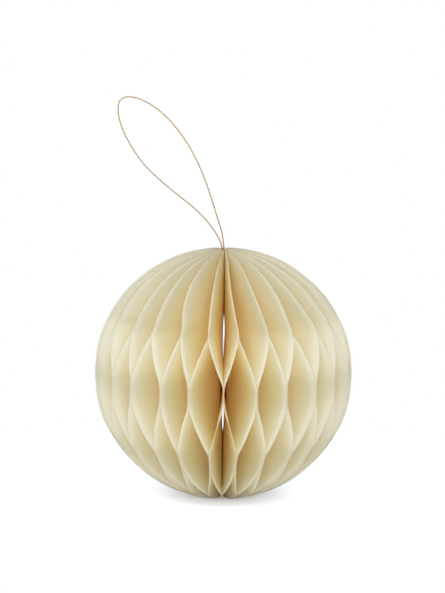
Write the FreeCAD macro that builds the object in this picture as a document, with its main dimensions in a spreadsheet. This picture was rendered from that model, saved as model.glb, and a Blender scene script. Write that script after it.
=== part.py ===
"""A honeycomb paper ball on a cord loop, in millimetres, with +Z up its spine.

Half-disc paper leaves stand on end round a narrow tube that their straight edges make.
Each leaf is glued to one neighbour along some short level strips and to its other
neighbour along the strips between them, so that the opened ball shows rows of cells.
The front is towards -Y, where one column of cells lies face on.
"""
import math
import os

import FreeCAD
import Part
from FreeCAD import Placement, Rotation, Vector

SIZES = [
    # leaves
    ("leaf_count", 48),
    ("leaf_radius", 48.74),
    ("paper_thickness", 0.15),
    ("glue_film", 0.015),
    # glue strips, as heights above the ball's middle
    ("upper_strip_height", 24.0),
    ("middle_strip_height", 0.5),
    ("lower_strip_height", -25.6),
    ("foot_strip_height", -44.9),
    ("strip_width", 2.2),
    # how the paper runs between strips
    ("sharp_bend_share", 0.08),
    ("soft_bend_share", 0.27),
    ("foot_power", 2.0),
    ("sway_angle", 0.85),
    ("sway_waves", 10),
    ("crown_turn", -2.3),
    ("crown_sway", 2.5),
    ("crown_waves", 9),
    ("crown_sway_start", 132.5),
    ("closing_gap", 0.3),
    ("section_spacing", 1.8),
    # spine, its notches and the thread in them
    ("spine_slit", 0.6),
    ("slit_start", 5.0),
    ("binding_height", 23.5),
    ("thread_diameter", 0.5),
    ("thread_clearance", 0.05),
    # hanging cord and the knot at its foot
    ("cord_diameter", 0.6),
    ("knot_width", 1.4),
    ("knot_height", 1.7),
    ("knot_lift", 0.3),
]

# the side on which a leaf with an even number is glued, and where the sway starts, in degrees
STRIPS = {
    "upper_strip_height": (1, -85),
    "middle_strip_height": (-1, 14),
    "lower_strip_height": (1, 117),
    "foot_strip_height": (-1, 200),
}

# route of the hanging cord, chosen by hand: up out of the spine, round the loop and back in
CORD_ROUTE = [
    Vector(-0.25, 0.00, 26.0),
    Vector(-0.22, 0.08, 38.0),
    Vector(-0.25, 0.00, 49.6),
    Vector(-1.00, 0.30, 55.4),
    Vector(-3.05, 0.80, 61.5),
    Vector(-5.60, 1.50, 69.6),
    Vector(-8.60, 2.10, 77.9),
    Vector(-12.60, 2.80, 86.4),
    Vector(-17.80, 3.40, 94.4),
    Vector(-24.00, 3.80, 101.3),
    Vector(-31.00, 3.90, 106.2),
    Vector(-37.40, 3.80, 108.2),
    Vector(-41.30, 3.40, 106.9),
    Vector(-42.00, 2.90, 102.6),
    Vector(-40.60, 2.10, 96.5),
    Vector(-37.00, 1.20, 89.3),
    Vector(-31.80, 0.30, 82.0),
    Vector(-25.20, -0.60, 75.8),
    Vector(-18.00, -1.00, 70.1),
    Vector(-11.00, -0.90, 64.6),
    Vector(-5.60, -0.50, 58.6),
    Vector(-2.30, -0.10, 53.6),
    Vector(-0.86, 0.00, 49.4),
    Vector(-0.88, 0.05, 41.0),
    Vector(-0.86, 0.00, 33.0),
    Vector(-0.88, 0.05, 26.0),
]
ARC_SHARE = 0.45

doc = FreeCAD.newDocument("honeycomb_ball")
sheet = doc.addObject("Spreadsheet::Sheet", "sizes")
for row, (alias, value) in enumerate(SIZES, start=1):
    sheet.set(f"A{row}", alias)
    sheet.set(f"B{row}", str(value))
    sheet.setAlias(f"B{row}", alias)
doc.recompute()


def size(alias):
    """The number in the spreadsheet's cell with this alias."""
    return float(sheet.get(alias))


LEAF_COUNT = int(size("leaf_count"))
LEAF_RADIUS = size("leaf_radius")
LEAF_STEP = 2 * math.pi / LEAF_COUNT
LEAF_PITCH = size("paper_thickness") + size("glue_film")
SPINE_RADIUS = LEAF_PITCH / (2 * math.sin(LEAF_STEP / 2))
SPINE_RADIUS_RULE = (
    "(sizes.paper_thickness + sizes.glue_film) / (2 * sin(180 deg / sizes.leaf_count))"
)


def latitude(height):
    """Angle above the ball's middle of a point of the leaf's round edge at this height."""
    return math.asin(max(-1.0, min(1.0, height / LEAF_RADIUS)))


def slit_width(height):
    """Gap that the spine's edges leave at the front and at the back.

    It opens between the middle of the ball, where the glue holds the spine shut, and the
    binding threads.
    """
    start, end = size("slit_start"), size("binding_height")
    share = (2 * abs(height) - start - end) / (end - start)
    return size("spine_slit") * (1 - share ** 4) ** 2 if abs(share) < 1 else 0.0


def spine_point(number, height):
    """Where a leaf's straight edge lies at this height, in the leaf's own frame.

    The edges stand side by side on a circle. Where the slits open, the circle widens and
    each half of the leaves closes up towards its own side of the ball.
    """
    slit = slit_width(height)
    radius = SPINE_RADIUS + slit / math.pi
    half_count = LEAF_COUNT / 2
    on_first_side = number < half_count
    place = number + 0.5 if on_first_side else LEAF_COUNT - number - 0.5
    turn = (slit / 2 + place * LEAF_STEP * SPINE_RADIUS) / radius - place * LEAF_STEP
    if not on_first_side:
        turn = -turn
    return Vector(radius * math.cos(turn), radius * math.sin(turn), height)


def joint_angle(number, strip):
    """Where a leaf's joint on this strip stands round the ball, and on which side of the leaf."""
    even_side = STRIPS[strip][0]
    side = even_side if number % 2 == 0 else -even_side
    return (number + 0.5) * LEAF_STEP + side * LEAF_STEP / 2, side


def strip_direction(number, strip):
    """Direction from the spine along a glue strip, from the leaf's own middle direction.

    At the back, where the ball closes, the two outer leaves meet with a gap.
    """
    height = size(strip)
    joint, side = joint_angle(number, strip)
    sway_start = math.radians(STRIPS[strip][1])
    sway = math.radians(size("sway_angle")) * math.sin(size("sway_waves") * joint + sway_start)
    angle = side * LEAF_STEP / 2 + sway
    reach = SPINE_RADIUS + LEAF_RADIUS * math.cos(latitude(height))
    closes_ball = abs(joint - math.pi) < LEAF_STEP / 4
    offset = (LEAF_PITCH + (size("closing_gap") if closes_ball else 0)) / 2
    along = Vector(math.cos(angle), math.sin(angle), 0)
    across = Vector(-math.sin(angle), math.cos(angle), 0)
    rim_point = along * reach - across * (side * offset)
    line = rim_point - spine_point(number, height)
    return math.atan2(line.y, line.x)


def crown_direction(number, height):
    """Direction above the top strip, where each glued pair swings a little aside and back."""
    strip = list(STRIPS)[0]
    joint = joint_angle(number, strip)[0]
    start = latitude(size(strip) + size("strip_width") / 2)
    share = max(0.0, (latitude(height) - start) / (math.pi / 2 - start))
    wave = math.sin(size("crown_waves") * joint + math.radians(size("crown_sway_start")))
    swing = math.radians(size("crown_turn") + size("crown_sway") * wave)
    return strip_direction(number, strip) + swing * math.sin(math.pi * share)


def eased(share, top_bend, foot_bend):
    """From 0 to 1 along a run: straight, with each end rounded over its bend's share."""
    slope = 1 / (1 - top_bend / 2 - foot_bend / 2)
    if share < top_bend:
        return slope * share ** 2 / (2 * top_bend)
    if share > 1 - foot_bend:
        return 1 - slope * (1 - share) ** 2 / (2 * foot_bend)
    return slope * (share - top_bend / 2)


def run_weight(share, above, below):
    """How far a leaf has turned at this share of the run between two strips.

    The bends are soft beside the middle strip and sharp beside the upper and lower strips.
    The last run turns slowly first.
    """
    if below == "foot_strip_height":
        return share ** size("foot_power")
    soft, sharp = size("soft_bend_share"), size("sharp_bend_share")
    top_bend = soft if above == "middle_strip_height" else sharp
    foot_bend = soft if below == "middle_strip_height" else sharp
    return eased(share, top_bend, foot_bend)


def leaf_direction(number, height):
    """Direction of the leaf's level line at this height, from its own middle direction."""
    half_width = size("strip_width") / 2
    strips = list(STRIPS)
    if height >= size(strips[0]) - half_width:
        return crown_direction(number, height)
    for above, below in zip(strips, strips[1:]):
        run_top = latitude(size(above) - half_width)
        run_foot = latitude(size(below) + half_width)
        if height > size(below) + half_width:
            share = (run_top - latitude(height)) / (run_top - run_foot)
            start = strip_direction(number, above)
            turn = strip_direction(number, below) - start
            return start + run_weight(share, above, below) * turn
        if height >= size(below) - half_width:
            return strip_direction(number, below)
    return strip_direction(number, strips[-1])


def section_heights():
    """Heights of the leaf's sections: the strips' edges, and even steps between them."""
    half_width = size("strip_width") / 2
    reach = LEAF_RADIUS + size("strip_width")
    marks = [reach]
    for strip in STRIPS:
        marks += [size(strip) + half_width, size(strip) - half_width]
    marks.append(-reach)
    heights = [marks[0]]
    for top, foot in zip(marks, marks[1:]):
        steps = max(1, math.ceil((top - foot) / size("section_spacing")))
        heights += [top - (top - foot) * step / steps for step in range(1, steps + 1)]
    return heights


def leaf_section(number, height):
    """Level section of a leaf's sheet: a thin oblong from the spine to past the rim."""
    start = spine_point(number, height)
    angle = leaf_direction(number, height)
    along = Vector(math.cos(angle), math.sin(angle), 0) * (LEAF_RADIUS + size("strip_width"))
    across = Vector(-math.sin(angle), math.cos(angle), 0) * (size("paper_thickness") / 2)
    corners = [start - across, start + along - across, start + along + across, start + across]
    return Part.makePolygon(corners + corners[:1])


def add(kind, label, **bound):
    """A new object whose properties are bound to the sheet by the expressions given."""
    obj = doc.addObject(kind, label)
    obj.Label = label
    for name, rule in bound.items():
        obj.setExpression(name, rule)
    return obj


def make_leaf_tools():
    """The round outline that trims every leaf, and the notches sawn across the spine."""
    outline = add("Part::Sphere", "leaf_outline", Radius="sizes.leaf_radius")
    # turned so that the sphere's poles and its seam keep clear of the leaf's rim
    outline.Placement = Placement(Vector(), Rotation(Vector(0, 1, 1), 180))
    outline.setExpression("Placement.Base.x", SPINE_RADIUS_RULE)
    notches = []
    for name, sign in (("upper_notch", ""), ("lower_notch", "-")):
        notch = add(
            "Part::Cylinder",
            name,
            Radius=SPINE_RADIUS_RULE + " + sizes.thread_diameter + 2 * sizes.thread_clearance",
            Height="sizes.thread_diameter + 2 * sizes.thread_clearance",
        )
        notch.setExpression(
            "Placement.Base.z",
            sign + "sizes.binding_height - sizes.thread_diameter / 2 - sizes.thread_clearance",
        )
        notches.append(notch)
    saw_cuts = add("Part::MultiFuse", "saw_cuts")
    saw_cuts.Shapes = notches
    return outline, saw_cuts


def make_leaf(number, outline, saw_cuts):
    """One leaf: its waved sheet, trimmed round, notched and turned to its place."""
    sheet_blank = doc.addObject("Part::Feature", f"leaf_{number + 1:02d}_sheet")
    sections = [leaf_section(number, height) for height in section_heights()]
    sheet_blank.Shape = Part.makeLoft(sections, True, True)
    half_disc = add("Part::Common", f"leaf_{number + 1:02d}_disc")
    half_disc.Base = sheet_blank
    half_disc.Tool = outline
    leaf = add("Part::Cut", f"leaf_{number + 1:02d}")
    leaf.Base = half_disc
    leaf.Tool = saw_cuts
    leaf.Placement = Placement(Vector(), Rotation(Vector(0, 0, 1), 0))
    leaf.setExpression(
        "Placement.Rotation.Angle", f"({number} + 0.5) * 360 deg / sizes.leaf_count - 90 deg"
    )
    return leaf


def make_spine_thread(label, sign):
    """One turn of binding thread, lying in the notches of all the leaves."""
    thread = add(
        "Part::Torus",
        label,
        Radius1=SPINE_RADIUS_RULE + " + sizes.thread_clearance + sizes.thread_diameter / 2",
        Radius2="sizes.thread_diameter / 2",
    )
    thread.setExpression("Placement.Base.z", sign + "sizes.binding_height")
    return thread


def cord_path(points):
    """Straight runs joined by tangent arcs as large as the runs allow."""
    edges = []
    last = points[0]
    for before, corner, after in zip(points, points[1:], points[2:]):
        back = (before - corner).normalize()
        ahead = (after - corner).normalize()
        half_turn = (math.pi - back.getAngle(ahead)) / 2
        trim = ARC_SHARE * min(before.distanceToPoint(corner), after.distanceToPoint(corner))
        radius = trim / math.tan(half_turn)
        bisector = (back + ahead).normalize()
        middle = corner + bisector * (radius / math.cos(half_turn) - radius)
        start = corner + back * trim
        end = corner + ahead * trim
        edges.append(Part.LineSegment(last, start).toShape())
        edges.append(Part.Arc(start, middle, end).toShape())
        print(f"cord arc radius {radius:.1f} mm, turn {math.degrees(2 * half_turn):.1f} degrees")
        last = end
    edges.append(Part.LineSegment(last, points[-1]).toShape())
    return Part.Wire(edges)


def make_hanging_cord():
    """The twisted cord as a plain round tube along its route."""
    route = doc.addObject("Part::Feature", "cord_route")
    route.Shape = cord_path(CORD_ROUTE)
    section = add("Part::Circle", "cord_section", Radius="sizes.cord_diameter / 2")
    first_run = CORD_ROUTE[1] - CORD_ROUTE[0]
    section.Placement = Placement(CORD_ROUTE[0], Rotation(Vector(0, 0, 1), first_run))
    cord = add("Part::Sweep", "hanging_cord")
    cord.Sections = [section]
    cord.Spine = (route, [f"Edge{edge + 1}" for edge in range(len(route.Shape.Edges))])
    cord.Solid = True
    doc.recompute()
    length = route.Shape.Length
    expected = length * math.pi * (size("cord_diameter") / 2) ** 2
    print(f"cord length {length:.1f} mm, volume {cord.Shape.Volume:.3f} of {expected:.3f}")
    return cord


def make_cord_knot(cord):
    """The knot that draws the two strands together at the mouth of the spine."""
    body = add(
        "Part::Ellipsoid",
        "knot_body",
        Radius1="sizes.knot_height / 2",
        Radius2="sizes.knot_width / 2",
        Radius3="sizes.knot_width / 2",
    )
    body.Placement = Placement(Vector((CORD_ROUTE[2].x + CORD_ROUTE[-4].x) / 2, 0, 0), Rotation())
    body.setExpression("Placement.Base.z", "sizes.leaf_radius + sizes.knot_lift")
    knot = add("Part::Cut", "cord_knot")
    knot.Base = body
    knot.Tool = cord
    return knot


def export(parts):
    """Check every object of the document, then write one STEP file for each sub-part."""
    for obj in doc.Objects:
        if "Invalid" in obj.State or "Error" in obj.State:
            raise ValueError(f"{obj.Label} did not recompute: {obj.State}")
    os.makedirs("parts", exist_ok=True)
    for part in parts:
        shape = part.Shape
        if shape.isNull() or not shape.isValid() or not shape.Solids:
            raise ValueError(f"{part.Label} has no valid solid")
        shape.exportStep(f"parts/{part.Label}.step")
        print(f"{part.Label}: {shape.Volume:.3f} cubic mm, {len(shape.Faces)} faces")


outline, saw_cuts = make_leaf_tools()
parts = [make_leaf(number, outline, saw_cuts) for number in range(LEAF_COUNT)]
parts.append(make_spine_thread("upper_spine_thread", ""))
parts.append(make_spine_thread("lower_spine_thread", "-"))
hanging_cord = make_hanging_cord()
parts.append(hanging_cord)
parts.append(make_cord_knot(hanging_cord))
doc.recompute()
export(parts)
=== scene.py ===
# %% [markdown]
# A honeycomb paper ball is a stack of half-disc leaves, bound along their straight edges and
# glued to each other on short level strips. Pulled round in a full circle, the stack becomes a
# ball of cells. This lesson makes its leaves as formula surfaces, twists its gold cord from two
# plies, and lights it softly on a white table. All lengths are worked out in millimetres and
# turned into metres once, when a mesh is made.

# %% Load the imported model
import math

import bpy
import numpy as np
from mathutils import Matrix, Vector


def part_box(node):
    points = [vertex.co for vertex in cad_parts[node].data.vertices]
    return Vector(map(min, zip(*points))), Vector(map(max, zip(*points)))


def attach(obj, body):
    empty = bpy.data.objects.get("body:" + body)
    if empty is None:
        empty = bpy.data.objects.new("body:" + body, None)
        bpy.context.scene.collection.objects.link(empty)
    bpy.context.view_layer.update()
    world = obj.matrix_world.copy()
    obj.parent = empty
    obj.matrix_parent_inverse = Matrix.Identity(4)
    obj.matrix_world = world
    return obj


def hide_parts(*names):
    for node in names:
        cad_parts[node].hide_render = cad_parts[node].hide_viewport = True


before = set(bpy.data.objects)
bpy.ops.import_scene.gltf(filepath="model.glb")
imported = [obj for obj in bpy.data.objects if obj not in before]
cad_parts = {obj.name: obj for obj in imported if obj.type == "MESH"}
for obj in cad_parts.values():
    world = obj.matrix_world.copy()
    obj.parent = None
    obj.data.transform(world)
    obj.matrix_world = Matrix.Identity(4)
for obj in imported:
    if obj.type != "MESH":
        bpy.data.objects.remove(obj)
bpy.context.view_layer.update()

# %% [markdown]
# The leaves set every other size, so their numbers come first. The leaf's radius is read from
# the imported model. The glue strips are heights above the middle of the ball: on each strip a
# leaf lies flat against one neighbour, and on the next strip against the other.

# %% Sizes of the leaves
METRE = 0.001
LEAF_COUNT = sum(name.startswith("leaf_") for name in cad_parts)
LEAF_RADIUS = float(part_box("leaf_01")[1][2]) / METRE
PAPER_THICKNESS = 0.15
GLUE_FILM = 0.015
LEAF_STEP = 2 * math.pi / LEAF_COUNT
LEAF_PITCH = PAPER_THICKNESS + GLUE_FILM
SPINE_RADIUS = LEAF_PITCH / (2 * math.sin(LEAF_STEP / 2))

# height, the side on which an even leaf is glued, and where the sway starts, in degrees
STRIPS = [(24.0, 1, -85), (0.5, -1, 14), (-25.6, 1, 117), (-44.9, -1, 200)]
STRIP_WIDTH = 2.2
SHARP_BEND = 0.08
SOFT_BEND = 0.27
FOOT_POWER = 2.0
SWAY_ANGLE = math.radians(0.85)
SWAY_WAVES = 10
CROWN_TURN = math.radians(-2.3)
CROWN_SWAY = math.radians(2.5)
CROWN_WAVES = 9
CROWN_START = math.radians(132.5)
CLOSING_GAP = 0.3
SPINE_SLIT = 0.6
SLIT_START = 5.0
BINDING_HEIGHT = 23.5
NOTCH_WIDTH = 0.6
print(f"{LEAF_COUNT} leaves of {LEAF_RADIUS:.2f} mm radius round a spine of {SPINE_RADIUS:.2f} mm")

# %% [markdown]
# Paper bends in one direction only, so a waved leaf is a ruled surface: at each height it
# follows one straight level line out from the spine. All that changes with the height is the
# line's direction. It stays fixed over a glue strip, then swings to the next strip's direction
# in a straight run with rounded ends. A small sway, the unevenness of a ball opened by hand,
# turns each joint of two leaves by up to a degree.

# %% Direction of a leaf at each height
def latitude(height):
    """Angle above the middle at which the round edge has this height: arcsin(z / R)."""
    return np.arcsin(np.clip(height / LEAF_RADIUS, -1, 1))


def slit_width(height):
    """Gap of the spine at front and back: w (1 - t^4)^2, where t runs from -1 at the middle,
    which the glue holds shut, to 1 at the binding threads."""
    share = (2 * np.abs(height) - SLIT_START - BINDING_HEIGHT) / (BINDING_HEIGHT - SLIT_START)
    return SPINE_SLIT * (1 - np.clip(share, -1, 1) ** 4) ** 2


def spine_line(number, height):
    """Where the leaf's straight edge lies: on a circle that widens by slit / pi at the slits,
    with the leaves of each half closing up towards their own side of the ball."""
    slit = slit_width(height)
    radius = SPINE_RADIUS + slit / math.pi
    first_side = number < LEAF_COUNT / 2
    place = number + 0.5 if first_side else LEAF_COUNT - number - 0.5
    turn = (slit / 2 + place * LEAF_STEP * SPINE_RADIUS) / radius - place * LEAF_STEP
    turn = turn if first_side else -turn
    return np.stack([radius * np.cos(turn), radius * np.sin(turn), height], axis=-1)


def joint_angle(number, strip):
    """Where a leaf's joint on this strip stands round the ball, and on which side of it."""
    side = strip[1] if number % 2 == 0 else -strip[1]
    return (number + 0.5) * LEAF_STEP + side * LEAF_STEP / 2, side


def strip_direction(number, strip):
    """Direction from the spine to the joint at the rim that this leaf shares on a strip. The
    two outer leaves, which meet at the back, keep a gap."""
    joint, side = joint_angle(number, strip)
    sway = SWAY_ANGLE * math.sin(SWAY_WAVES * joint + math.radians(strip[2]))
    angle = side * LEAF_STEP / 2 + sway
    reach = SPINE_RADIUS + LEAF_RADIUS * math.cos(latitude(strip[0]))
    closes_ball = abs(joint - math.pi) < LEAF_STEP / 4
    offset = side * (LEAF_PITCH + (CLOSING_GAP if closes_ball else 0)) / 2
    start = spine_line(number, np.array([strip[0]]))[0]
    rim_x = reach * math.cos(angle) + offset * math.sin(angle)
    rim_y = reach * math.sin(angle) - offset * math.cos(angle)
    return math.atan2(rim_y - start[1], rim_x - start[0])


def crown_swing(number, height):
    """Turn above the top strip: (a + b sin(9 j + c)) sin(pi t), with j the joint's place round
    the ball and t running from 0 at the strip to 1 at the pole."""
    joint = joint_angle(number, STRIPS[0])[0]
    start = latitude(STRIPS[0][0] + STRIP_WIDTH / 2)
    share = np.clip((latitude(height) - start) / (math.pi / 2 - start), 0, 1)
    swing = CROWN_TURN + CROWN_SWAY * math.sin(CROWN_WAVES * joint + CROWN_START)
    return swing * np.sin(math.pi * share)


def eased(share, top_bend, foot_bend):
    """From 0 to 1 along a run: a parabola over the bend at each end, straight between."""
    slope = 1 / (1 - top_bend / 2 - foot_bend / 2)
    early = slope * share ** 2 / (2 * top_bend)
    late = 1 - slope * (1 - share) ** 2 / (2 * foot_bend)
    middle = slope * (share - top_bend / 2)
    return np.where(share < top_bend, early, np.where(share > 1 - foot_bend, late, middle))


def leaf_direction(number, height):
    """Direction of the leaf's level line: the top strip's, plus the crown's swing, plus each
    run's eased turn."""
    direction = strip_direction(number, STRIPS[0]) + crown_swing(number, height)
    bends = [(SHARP_BEND, SOFT_BEND), (SOFT_BEND, SHARP_BEND), None]
    for above, below, bend in zip(STRIPS, STRIPS[1:], bends):
        run_top = latitude(above[0] - STRIP_WIDTH / 2)
        run_foot = latitude(below[0] + STRIP_WIDTH / 2)
        share = np.clip((run_top - latitude(height)) / (run_top - run_foot), 0, 1)
        weight = eased(share, *bend) if bend else share ** FOOT_POWER
        turn = strip_direction(number, below) - strip_direction(number, above)
        direction = direction + weight * turn
    return direction


print("front leaf turns, degrees:",
      [round(math.degrees(strip_direction(0, strip)), 2) for strip in STRIPS])

# %% [markdown]
# A leaf's mesh is a stack of long thin rings, one for each height: out along one face of the
# sheet, across the rim, and back along the other face. Rows crowd together towards the poles
# because they are spaced evenly in latitude, which is how the round edge is best followed. The
# saw notch for the binding thread is a stretch where the rings start a little later. Each point
# also keeps its depth, its distance in from the rim, which the paper's tone will read.

# %% Surface of a leaf
DEPTH = "depth_from_rim"
ROW_COUNT = 190
COLUMN_COUNT = 13
POLE_LATITUDE = math.radians(89.4)
NOTCH_SLOPE = 0.02
# what the glue at the spine adds to a leaf's thickness there, beyond its pitch
SPINE_GLUE = 0.004


def row_heights():
    """Heights of the rings: R sin(latitude), with extra rows at the strips and notches."""
    rows = list(LEAF_RADIUS * np.sin(np.linspace(-POLE_LATITUDE, POLE_LATITUDE, ROW_COUNT)))
    for height, _, _ in STRIPS:
        rows += [height - STRIP_WIDTH / 2, height + STRIP_WIDTH / 2]
    for middle in (BINDING_HEIGHT, -BINDING_HEIGHT):
        for edge in (-NOTCH_WIDTH / 2, NOTCH_WIDTH / 2):
            rows += [middle + edge - NOTCH_SLOPE / 2, middle + edge + NOTCH_SLOPE / 2]
    return np.array(sorted(rows, reverse=True))


def leaf_rings(number):
    """Points of a leaf, rows by ring: P(z) + r (cos a, sin a) -+ half a sheet across, where a
    is the leaf's direction at height z and r runs from the spine to sqrt(R^2 - z^2). At the
    spine the sheet swells until it meets its neighbours, as the glue does there. Each point's
    depth is its distance in from the rim, divided by R."""
    height = row_heights()
    angle = leaf_direction(number, height)
    along = np.stack([np.cos(angle), np.sin(angle), 0 * angle], axis=-1)
    across = np.stack([-np.sin(angle), np.cos(angle), 0 * angle], axis=-1)
    notch_depth = NOTCH_WIDTH * (np.abs(np.abs(height) - BINDING_HEIGHT) < NOTCH_WIDTH / 2)
    rim = np.sqrt(LEAF_RADIUS ** 2 - height ** 2)
    share = np.linspace(0, 1, COLUMN_COUNT)
    radius = notch_depth[:, None] + (rim - notch_depth)[:, None] * share
    middle = spine_line(number, height)[:, None] + radius[..., None] * along[:, None]
    thickness = np.where(share > 0, PAPER_THICKNESS, LEAF_PITCH + SPINE_GLUE)
    half_sheet = across[:, None] * thickness[:, None] / 2
    rings = np.concatenate([middle - half_sheet, (middle + half_sheet)[:, ::-1]], axis=1)
    depth = rim[:, None] / LEAF_RADIUS * (1 - np.concatenate([share, share[::-1]]))
    turn = (number + 0.5) * LEAF_STEP - math.pi / 2
    cos, sin = math.cos(turn), math.sin(turn)
    return rings @ np.array([[cos, sin, 0], [-sin, cos, 0], [0, 0, 1]]), depth


def ring_faces(row_count, ring_size):
    """Quads between neighbouring rings, then those that close the first and the last ring."""
    here = np.arange(ring_size)
    beside = (here + 1) % ring_size
    row = np.arange(row_count - 1)[:, None] * ring_size
    below = row + ring_size
    walls = np.stack([below + here, below + beside, row + beside, row + here], axis=-1)
    out = np.arange(ring_size // 2 - 1)
    back = ring_size - 1 - out
    top = np.stack([out, out + 1, back - 1, back], axis=-1)
    foot = top[:, ::-1] + (row_count - 1) * ring_size
    return walls, np.concatenate([top, foot])


def new_piece(name, points, quads, smooth, slots, slot_of_face):
    """A mesh piece from arrays: points in millimetres, quads, smooth flags and material slots."""
    mesh = bpy.data.meshes.new(name)
    mesh.vertices.add(len(points))
    mesh.vertices.foreach_set("co", (points * METRE).ravel())
    mesh.loops.add(quads.size)
    mesh.loops.foreach_set("vertex_index", quads.ravel())
    mesh.polygons.add(len(quads))
    mesh.polygons.foreach_set("loop_start", np.arange(0, quads.size, 4))
    mesh.polygons.foreach_set("use_smooth", smooth)
    for material in slots:
        mesh.materials.append(material)
    mesh.polygons.foreach_set("material_index", slot_of_face)
    mesh.update(calc_edges=True)
    mesh.validate()
    piece = bpy.data.objects.new(name, mesh)
    bpy.context.scene.collection.objects.link(piece)
    return piece


print("rows in a leaf:", len(row_heights()), "quads:", (len(row_heights()) - 1) * 2 * COLUMN_COUNT)

# %% [markdown]
# Colours are picked as the hex values that a screen shows and turned into the linear numbers
# that a shader works with. One helper adds a shader node, sets its values and makes its links,
# which keeps each material short enough to read.

# %% Colour and node helpers
def linear(hex_colour):
    """Linear RGBA from an sRGB hex string."""
    channels = [int(hex_colour[at:at + 2], 16) / 255 for at in (1, 3, 5)]
    return [c / 12.92 if c <= 0.04045 else ((c + 0.055) / 1.055) ** 2.4 for c in channels] + [1]


def add_node(material, kind, links=None, **values):
    """One shader node: keyword values go to its properties or sockets, links to its sockets."""
    tree = material.node_tree
    node = tree.nodes.new(kind)
    for key, value in values.items():
        if hasattr(node, key):
            setattr(node, key, value)
    for key, value in values.items():
        if not hasattr(node, key):
            node.inputs[key.replace("_", " ")].default_value = value
    for socket, source in (links or {}).items():
        tree.links.new(source, node.inputs[socket])
    return node


def new_material(name):
    """An empty material and its output node."""
    material = bpy.data.materials.new(name)
    material.use_nodes = True
    material.node_tree.nodes.clear()
    return material, add_node(material, "ShaderNodeOutputMaterial")


# %% [markdown]
# The leaves are uncoated cream cartridge paper of about 120 grams. Its surface is matt felt of
# short fibres: the colour wanders a little from place to place, the face is finely rough, and
# much light comes through the sheet. Light that reaches the depth of a cell has crossed many
# sheets, and each one takes out some blue, so the depth glows amber. That glow is also painted
# into the paper's tone as painted light, growing warmer with the distance in from the rim. The
# fibre relief is drawn about twice as coarse as in the real sheet, so that it can be seen.

# %% Cream paper
# from the rim inwards, with the place of each tone as a share of the leaf's radius; the warmer
# tones deeper in are painted light, the amber glow of light that has crossed many sheets
PAPER_RIM = "#EAE8D6"
PAPER_MIDDLE = "#F4ECC6"
PAPER_DEEP_PAINTED_GLOW = "#FFF0B6"
PAPER_SPINE_PAINTED_GLOW = "#F9CB8E"
PAPER_AND_PAINTED_GLOW_STOPS = [(0.06, PAPER_RIM), (0.3, PAPER_MIDDLE), (0.88, PAPER_DEEP_PAINTED_GLOW), (1.0, PAPER_SPINE_PAINTED_GLOW)]
CLOUD_SIZE = 9.0
CLOUD_SHARE = 0.08
FIBRE_SIZE = 0.5
FIBRE_HEIGHT = 0.03
LIGHT_THROUGH_PAPER = 0.72


def ramp(material, source, stops):
    """A colour ramp: stops are pairs of a place from 0 to 1 and a hex colour."""
    node = add_node(material, "ShaderNodeValToRGB", {"Fac": source})
    elements = node.color_ramp.elements
    while len(elements) < len(stops):
        elements.new(0.5)
    for element, (place, colour) in zip(elements, stops):
        element.position = place
        element.color = linear(colour)
    return node


def cream_paper():
    """Uncoated paper: cream, with a painted amber glow in the depth, fibre relief, and some light
    let through.
    """
    material, output = new_material("cream_cartridge_paper")
    place = add_node(material, "ShaderNodeTexCoord").outputs["Object"]
    clouds = add_node(material, "ShaderNodeTexNoise", {"Vector": place},
                      Scale=1 / (CLOUD_SIZE * METRE), Detail=4.0, Roughness=0.6)
    fibres = add_node(material, "ShaderNodeTexNoise", {"Vector": place},
                      Scale=1 / (FIBRE_SIZE * METRE), Detail=3.0, Roughness=0.7)
    depth = add_node(material, "ShaderNodeAttribute", attribute_name=DEPTH).outputs["Fac"]
    clouds_and_glow_depth = add_node(material, "ShaderNodeMath", {0: clouds.outputs["Fac"], 2: depth},
                      operation="MULTIPLY_ADD")
    clouds_and_glow_depth.inputs[1].default_value = CLOUD_SHARE
    # painted light: the ramp paints the amber glow of the cell's depth into the paper's colour
    tone = ramp(material, clouds_and_glow_depth.outputs["Value"], PAPER_AND_PAINTED_GLOW_STOPS)
    relief = add_node(material, "ShaderNodeBump", {"Height": fibres.outputs["Fac"]},
                      Strength=0.25, Distance=FIBRE_HEIGHT * METRE)
    face = add_node(material, "ShaderNodeBsdfPrincipled",
                    {"Base Color": tone.outputs["Color"], "Normal": relief.outputs["Normal"]},
                    Roughness=0.85, Specular_IOR_Level=0.2)
    through = add_node(material, "ShaderNodeBsdfTranslucent", {"Color": tone.outputs["Color"]})
    both = add_node(material, "ShaderNodeMixShader", Fac=LIGHT_THROUGH_PAPER)
    links = material.node_tree.links
    links.new(face.outputs["BSDF"], both.inputs[1])
    links.new(through.outputs["BSDF"], both.inputs[2])
    links.new(both.outputs["Shader"], output.inputs["Surface"])
    return material


paper = cream_paper()
print("made", paper.name)

# %% [markdown]
# The stack was cut round and its cut face covered with hot-pressed metal foil, so each leaf
# carries a gilt line a sheet thick round its rim. Foil on a cut edge is never a mirror: the
# paper's fibres show through as streaks and small bare spots.

# %% Gilt on the cut edges
GILT_BRIGHT = "#C9A472"
GILT_DEEP = "#8E6233"
GILT_GRAIN = 0.8


def gilt_edge():
    """Copper-gold foil on the cut rim: metallic, satin, with a streaky tone."""
    material, output = new_material("copper_gold_foil")
    place = add_node(material, "ShaderNodeTexCoord").outputs["Object"]
    grain = add_node(material, "ShaderNodeTexNoise", {"Vector": place},
                     Scale=1 / (GILT_GRAIN * METRE), Detail=3.0)
    tone = ramp(material, grain.outputs["Fac"], [(0.35, GILT_DEEP), (0.65, GILT_BRIGHT)])
    satin = add_node(material, "ShaderNodeMapRange", {"Value": grain.outputs["Fac"]},
                     To_Min=0.4, To_Max=0.6)
    foil = add_node(material, "ShaderNodeBsdfPrincipled",
                    {"Base Color": tone.outputs["Color"], "Roughness": satin.outputs["Result"]},
                    Metallic=0.85)
    material.node_tree.links.new(foil.outputs["BSDF"], output.inputs["Surface"])
    return material


gilt = gilt_edge()
print("made", gilt.name)
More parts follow.
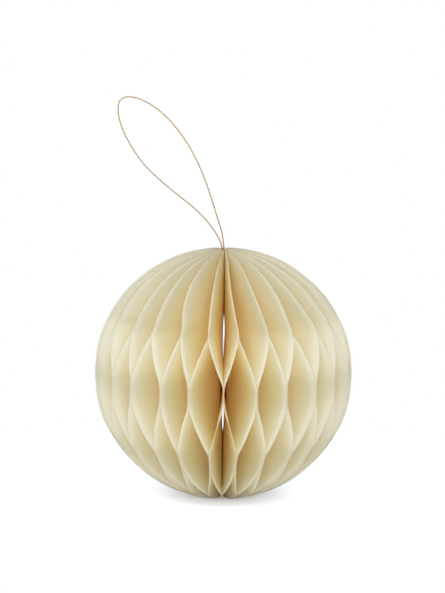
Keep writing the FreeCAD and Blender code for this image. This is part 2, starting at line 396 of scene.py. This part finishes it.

# %% [markdown]
# Now the leaves themselves. Each one takes over from the plain solid of the same name. The
# quad that crosses the rim of each ring gets the gilt, and so do the faces that close the top
# and foot rings; the rest is paper. Only the two faces are shaded smooth, so the edges of the
# sheet stay crisp.

# %% Build the leaves
def make_leaf(number):
    """One leaf as a mesh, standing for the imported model's leaf of the same number."""
    name = f"leaf_{number + 1:02d}"
    rings, depth = leaf_rings(number)
    row_count, ring_size = rings.shape[:2]
    walls, ends = ring_faces(row_count, ring_size)
    rim_quad = ring_size // 2 - 1
    smooth_walls = np.ones(walls.shape[:2], dtype=bool)
    smooth_walls[:, [rim_quad, ring_size - 1]] = False
    gilt_walls = np.zeros(walls.shape[:2], dtype=np.int32)
    gilt_walls[:, rim_quad] = 1
    quads = np.concatenate([walls.reshape(-1, 4), ends])
    smooth = np.concatenate([smooth_walls.ravel(), np.zeros(len(ends), dtype=bool)])
    slot_of_face = np.concatenate([gilt_walls.ravel(), np.ones(len(ends), dtype=np.int32)])
    points = rings.reshape(-1, 3)
    piece = new_piece(name + "_sheet", points, quads, smooth, [paper, gilt], slot_of_face)
    attribute = piece.data.attributes.new(DEPTH, "FLOAT", "POINT")
    attribute.data.foreach_set("value", depth.ravel())
    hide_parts(name)
    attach(piece, "root")
    return piece


leaves = [make_leaf(number) for number in range(LEAF_COUNT)]
print("leaves:", len(leaves), "quads in each:", len(leaves[0].data.polygons))

# %% [markdown]
# The cord is real metallic twist: two plies, one wrapped in bright gold film and one in duller
# bronze, laid round each other about once in two millimetres. Its route starts inside the
# spine, leaves at the top, makes a long leaning loop and goes back in. The route is a smooth
# spline through given control points, and the plies are helices carried along it.

# %% Route of the cord
CORD_DIAMETER = 0.6
PLY_PITCH = 1.8
CORD_ROUTE = [
    (-0.25, 0.00, 26.0), (-0.22, 0.08, 38.0), (-0.25, 0.00, 49.6), (-1.00, 0.30, 55.4),
    (-3.05, 0.80, 61.5), (-5.60, 1.50, 69.6), (-8.60, 2.10, 77.9), (-12.60, 2.80, 86.4),
    (-17.80, 3.40, 94.4), (-24.00, 3.80, 101.3), (-31.00, 3.90, 106.2), (-37.40, 3.80, 108.2),
    (-41.30, 3.40, 106.9), (-42.00, 2.90, 102.6), (-40.60, 2.10, 96.5), (-37.00, 1.20, 89.3),
    (-31.80, 0.30, 82.0), (-25.20, -0.60, 75.8), (-18.00, -1.00, 70.1), (-11.00, -0.90, 64.6),
    (-5.60, -0.50, 58.6), (-2.30, -0.10, 53.6), (-0.86, 0.00, 49.4), (-0.88, 0.05, 41.0),
    (-0.86, 0.00, 33.0), (-0.88, 0.05, 26.0),
]
SPLINE_STEPS = 64


def spline_points(name, points):
    """Points along the NURBS spline that has these control points, in millimetres."""
    curve = bpy.data.curves.new(name, "CURVE")
    curve.dimensions = "3D"
    curve.resolution_u = SPLINE_STEPS
    spline = curve.splines.new("NURBS")
    spline.points.add(len(points) - 1)
    corners = np.hstack([np.array(points) * METRE, np.ones((len(points), 1))])
    spline.points.foreach_set("co", corners.ravel())
    spline.order_u = 3
    spline.use_endpoint_u = True
    route = bpy.data.objects.new(name, curve)
    line = bpy.data.meshes.new_from_object(route)
    found = np.empty(len(line.vertices) * 3)
    line.vertices.foreach_get("co", found)
    bpy.data.objects.remove(route)
    bpy.data.curves.remove(curve)
    bpy.data.meshes.remove(line)
    return found.reshape(-1, 3) / METRE


def arc_length(points):
    """Distance along a line of points from its start to each point."""
    steps = np.linalg.norm(np.diff(points, axis=0), axis=1)
    return np.concatenate([[0], np.cumsum(steps)])


cord_line = spline_points("cord_route", CORD_ROUTE)

# %% [markdown]
# A ply is a tube whose middle winds round the cord's line. The two plies start half a turn
# apart, and each is a little fatter than half the cord, because real plies press together.

# %% Plies of the cord
PLY_SIDES = 8
PLY_SHARE = 0.31


def ply_tube(line, reference, lay_radius, ply_radius, pitch, start_turn):
    """Rings of a ply: line + lay (cos p, sin p) + ply (cos q, sin q) in the plane across the
    line, with p turning once in each pitch of the line's length and q going round the ply."""
    along = np.gradient(line, axis=0)
    along /= np.linalg.norm(along, axis=1, keepdims=True)
    side = np.cross(along, reference)
    side /= np.linalg.norm(side, axis=1, keepdims=True)
    rise = np.cross(side, along)
    turn = 2 * math.pi * (arc_length(line) / pitch + start_turn)
    centre = line + lay_radius * (np.cos(turn)[:, None] * side + np.sin(turn)[:, None] * rise)
    around = turn[:, None] + np.linspace(0, 2 * math.pi, PLY_SIDES, endpoint=False)
    section = np.cos(around)[..., None] * side[:, None] + np.sin(around)[..., None] * rise[:, None]
    return centre[:, None] + ply_radius * section


def tube_quads(row_count):
    """Outward quads of a tube, with both ends closed."""
    walls, _ = ring_faces(row_count, PLY_SIDES)
    out = np.arange(PLY_SIDES // 2 - 1)
    back = PLY_SIDES - 1 - out
    first = np.stack([out, out + 1, back - 1, back], axis=-1)
    last = first[:, ::-1] + (row_count - 1) * PLY_SIDES
    return np.concatenate([walls.reshape(-1, 4)[:, ::-1], first[:, ::-1], last[:, ::-1]])


def twisted_cord(name, line, reference, diameter, pitch, slots):
    """A piece of two plies laid round each other along a line of points."""
    tubes = [ply_tube(line, reference, diameter / 4, diameter * PLY_SHARE, pitch, start)
             for start in (0, 0.5)]
    quads = tube_quads(len(line))
    points = np.concatenate([tube.reshape(-1, 3) for tube in tubes])
    both = np.concatenate([quads, quads + tubes[0].size // 3])
    slot_of_face = np.repeat([0, 1], len(quads)).astype(np.int32)
    return new_piece(name, points, both, np.ones(len(both), dtype=bool), slots, slot_of_face)


print(f"ply: {2 * PLY_SHARE * CORD_DIAMETER:.2f} mm thick, a turn in {PLY_PITCH} mm")

# %% [markdown]
# Metallised film is bright where it is smooth and dull in the creases between its turns. The
# film is wound round each ply as a narrow ribbon, so a fine wave along the ply breaks up the
# shine. The second ply is the same film in a browner tone.

# %% Gold and bronze film
RIBBON_WIDTH = 0.25
GOLD_BRIGHT = "#CC9A3C"
GOLD_DEEP = "#8F6826"
BRONZE_BRIGHT = "#94744A"
BRONZE_DEEP = "#5E4A2A"


def metal_film(name, bright, deep):
    """Ribbon of metallised film wound on a ply: metallic, with a wave at the ribbon's width."""
    material, output = new_material(name)
    place = add_node(material, "ShaderNodeTexCoord").outputs["Object"]
    ribbon = add_node(material, "ShaderNodeTexNoise", {"Vector": place},
                      Scale=1 / (RIBBON_WIDTH * METRE), Detail=2.0)
    tone = ramp(material, ribbon.outputs["Fac"], [(0.35, deep), (0.65, bright)])
    relief = add_node(material, "ShaderNodeBump", {"Height": ribbon.outputs["Fac"]},
                      Strength=0.5, Distance=0.04 * METRE)
    film = add_node(material, "ShaderNodeBsdfPrincipled",
                    {"Base Color": tone.outputs["Color"], "Normal": relief.outputs["Normal"]},
                    Metallic=0.9, Roughness=0.38)
    material.node_tree.links.new(film.outputs["BSDF"], output.inputs["Surface"])
    return material


gold_film = metal_film("gold_metallised_film", GOLD_BRIGHT, GOLD_DEEP)
bronze_film = metal_film("bronze_metallised_film", BRONZE_BRIGHT, BRONZE_DEEP)
SIDEWAYS = np.array([0.0, 1.0, 0.0])
cord = twisted_cord("hanging_cord_twist", cord_line, SIDEWAYS, CORD_DIAMETER, PLY_PITCH,
                    [gold_film, bronze_film])
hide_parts("hanging_cord")
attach(cord, "root")
print("cord quads:", len(cord.data.polygons))

# %% [markdown]
# Where the two strands leave the ball they are drawn together by a small tight knot. It is
# made of the same twist, as turns that wind up round both strands.

# %% Knot at the foot of the loop
KNOT_TURNS = 3.2
KNOT_HEIGHT = 1.7
KNOT_RADIUS = 0.5
KNOT_STEPS = 160
KNOT_END = 0.12
KNOT_TAPER = 0.35


def knot_line():
    """A short coil: centre + r (cos a, sin a), rising steadily, with r as sin(pi t) to a small
    power, which draws both ends in."""
    low, high = (np.array(corner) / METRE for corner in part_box("cord_knot"))
    centre = (low + high) / 2
    share = np.linspace(0, 1, KNOT_STEPS)
    angle = 2 * math.pi * KNOT_TURNS * share
    within = np.clip(share, KNOT_END, 1 - KNOT_END)
    radius = KNOT_RADIUS * np.sin(math.pi * within) ** KNOT_TAPER
    rise = KNOT_HEIGHT * (share - 0.5)
    offset = np.stack([radius * np.cos(angle), radius * np.sin(angle), rise], axis=-1)
    return centre + offset


knot = twisted_cord("cord_knot_turns", knot_line(), np.array([0.0, 0.0, 1.0]),
                    CORD_DIAMETER, PLY_PITCH, [gold_film, bronze_film])
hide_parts("cord_knot")
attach(knot, "root")
print("knot quads:", len(knot.data.polygons))

# %% [markdown]
# The binding thread lies out of sight in the notches of the spine. It is plain linen, so it
# keeps its solid ring and only gets the right finish.

# %% Linen binding thread
THREAD_TWIST = 0.35
LINEN_LIGHT = "#E8DFC6"
LINEN_DARK = "#C9BD9C"


def linen_thread():
    """Waxed linen: matt off-white with a fine twist in its relief."""
    material, output = new_material("waxed_linen_thread")
    place = add_node(material, "ShaderNodeTexCoord").outputs["Object"]
    twist = add_node(material, "ShaderNodeTexNoise", {"Vector": place},
                     Scale=1 / (THREAD_TWIST * METRE), Detail=2.0)
    tone = ramp(material, twist.outputs["Fac"], [(0.35, LINEN_DARK), (0.65, LINEN_LIGHT)])
    relief = add_node(material, "ShaderNodeBump", {"Height": twist.outputs["Fac"]},
                      Strength=0.4, Distance=0.03 * METRE)
    fibre = add_node(material, "ShaderNodeBsdfPrincipled",
                     {"Base Color": tone.outputs["Color"], "Normal": relief.outputs["Normal"]},
                     Roughness=0.7)
    material.node_tree.links.new(fibre.outputs["BSDF"], output.inputs["Surface"])
    return material


linen = linen_thread()
for name in ("upper_spine_thread", "lower_spine_thread"):
    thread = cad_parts[name]
    for slot in thread.material_slots:
        slot.material = linen
print("binding threads finished")

# %% [markdown]
# The ball stands on a white table in a white room, between four soft boxes: one in front, one
# at each side and one above. To the camera the table is plain white like the background, but
# for the patch round the ball's foot, which shows the shadow.

# %% Table and light
TABLE_WHITE = "#F0ECE2"
TABLE_HALF_SIDE = 3000.0
TABLE_GAP = 0.02
# over-bright, so that only a shadow falls below the white of the page, and bluish, to make up
# for the amber light that comes back from the ball
SHADOW_WHITE = (2.15, 2.4, 2.95, 1)
SHADOW_INNER = 90.0
SHADOW_OUTER = 150.0
ROOM_STRENGTH = 0.64
VIEW_GAMMA = 1.6


def white_table():
    """A table top just under the ball: matt white to every ray but the camera's, which sees
    the lit patch near the ball's foot fade into a plain white page."""
    material, output = new_material("white_matt_table")
    place = add_node(material, "ShaderNodeTexCoord").outputs["Object"]
    reach = add_node(material, "ShaderNodeVectorMath", {"Vector": place}, operation="LENGTH")
    near = add_node(material, "ShaderNodeMapRange", {"Value": reach.outputs["Value"]},
                    interpolation_type="SMOOTHSTEP",
                    From_Min=SHADOW_OUTER * METRE, From_Max=SHADOW_INNER * METRE)
    plain = add_node(material, "ShaderNodeBsdfDiffuse", Color=linear(TABLE_WHITE))
    bright = add_node(material, "ShaderNodeBsdfDiffuse", Color=SHADOW_WHITE)
    blank = add_node(material, "ShaderNodeEmission", Strength=1.0)
    seen = add_node(material, "ShaderNodeMixShader", {"Fac": near.outputs["Result"]})
    face = add_node(material, "ShaderNodeMixShader",
                    {"Fac": add_node(material, "ShaderNodeLightPath").outputs["Is Camera Ray"]})
    links = material.node_tree.links
    links.new(blank.outputs["Emission"], seen.inputs[1])
    links.new(bright.outputs["BSDF"], seen.inputs[2])
    links.new(plain.outputs["BSDF"], face.inputs[1])
    links.new(seen.outputs["Shader"], face.inputs[2])
    links.new(face.outputs["Shader"], output.inputs["Surface"])
    corners = np.array([[-1, -1], [1, -1], [1, 1], [-1, 1]]) * TABLE_HALF_SIDE
    points = np.hstack([corners, np.full((4, 1), -LEAF_RADIUS - TABLE_GAP)])
    table = new_piece("table_top", points, np.array([[0, 1, 2, 3]]), np.array([False]),
                      [material], np.array([0], dtype=np.int32))


def area_light(name, place, size, watts):
    """A square softbox at a place, in metres, aimed at the ball."""
    lamp = bpy.data.lights.new(name, "AREA")
    lamp.energy = watts
    lamp.size = size
    softbox = bpy.data.objects.new(name, lamp)
    softbox.location = place
    softbox.rotation_euler = (-Vector(place)).to_track_quat("-Z", "Y").to_euler()
    bpy.context.scene.collection.objects.link(softbox)


white_table()
world = bpy.data.worlds.new("white_room")
world.use_nodes = True
room = world.node_tree.nodes["Background"]
room.inputs["Color"].default_value = (1, 1, 1, 1)
room.inputs["Strength"].default_value = ROOM_STRENGTH
bpy.context.scene.world = world
area_light("front_softbox", (-0.1, -2.1, 0.5), 0.8, 12.0)
area_light("left_softbox", (-1.5, -1.3, 0.5), 0.8, 2.8)
area_light("right_softbox", (1.5, -1.3, 0.5), 0.8, 3.4)
area_light("top_softbox", (-0.1, -0.35, 1.2), 1.2, 17.0)
bpy.context.scene.view_settings.view_transform = "Standard"
bpy.context.scene.view_settings.gamma = VIEW_GAMMA
# enough bounces for light to cross the many sheets round a cell
bpy.context.scene.cycles.max_bounces = 24
bpy.context.scene.cycles.diffuse_bounces = 12
bpy.context.scene.cycles.transmission_bounces = 24
print("soft boxes:", len(bpy.data.lights))

# %% [markdown]
# The camera is far away with a long lens, so the columns of cells hardly converge, and it looks
# down by eleven degrees. Its lens and its aim follow from where the ball's outline lies in the
# picture: a middle and a radius, in pixels.

# %% Camera
IMAGE_WIDTH, IMAGE_HEIGHT = 445, 593
BALL_MIDDLE_PIXEL = (223.35, 372.8)
BALL_RADIUS_PIXELS = 128.3
BALL_RADIUS = LEAF_RADIUS + SPINE_RADIUS
CAMERA_DISTANCE = 2000.0
CAMERA_ELEVATION = math.radians(11.0)
CAMERA_ROLL = math.radians(0.6)
SENSOR = 36.0


def place_camera():
    """A long-lens camera in front of the ball, aimed so that the ball fills its place."""
    lens_pixels = BALL_RADIUS_PIXELS * math.sqrt((CAMERA_DISTANCE / BALL_RADIUS) ** 2 - 1)
    pixel = BALL_RADIUS / BALL_RADIUS_PIXELS
    lens = bpy.data.cameras.new("long_lens")
    lens.sensor_width = SENSOR
    lens.lens = lens_pixels * SENSOR / IMAGE_HEIGHT
    lens.clip_end = 100
    back = Vector((0, -math.cos(CAMERA_ELEVATION), math.sin(CAMERA_ELEVATION)))
    rise = Vector((0, math.sin(CAMERA_ELEVATION), math.cos(CAMERA_ELEVATION)))
    side = Vector((1, 0, 0))
    up = rise * math.cos(CAMERA_ROLL) - side * math.sin(CAMERA_ROLL)
    right = side * math.cos(CAMERA_ROLL) + rise * math.sin(CAMERA_ROLL)
    aim = up * pixel * (BALL_MIDDLE_PIXEL[1] - IMAGE_HEIGHT / 2)
    aim -= right * pixel * (BALL_MIDDLE_PIXEL[0] - IMAGE_WIDTH / 2)
    camera = bpy.data.objects.new("long_lens", lens)
    turn = Matrix((right, up, back)).transposed().to_4x4()
    camera.matrix_world = Matrix.Translation((aim + back * CAMERA_DISTANCE) * METRE) @ turn
    bpy.context.scene.collection.objects.link(camera)
    bpy.context.scene.camera = camera
    print(f"lens {lens.lens:.0f} mm, {pixel:.3f} mm of the ball to a pixel")


place_camera()
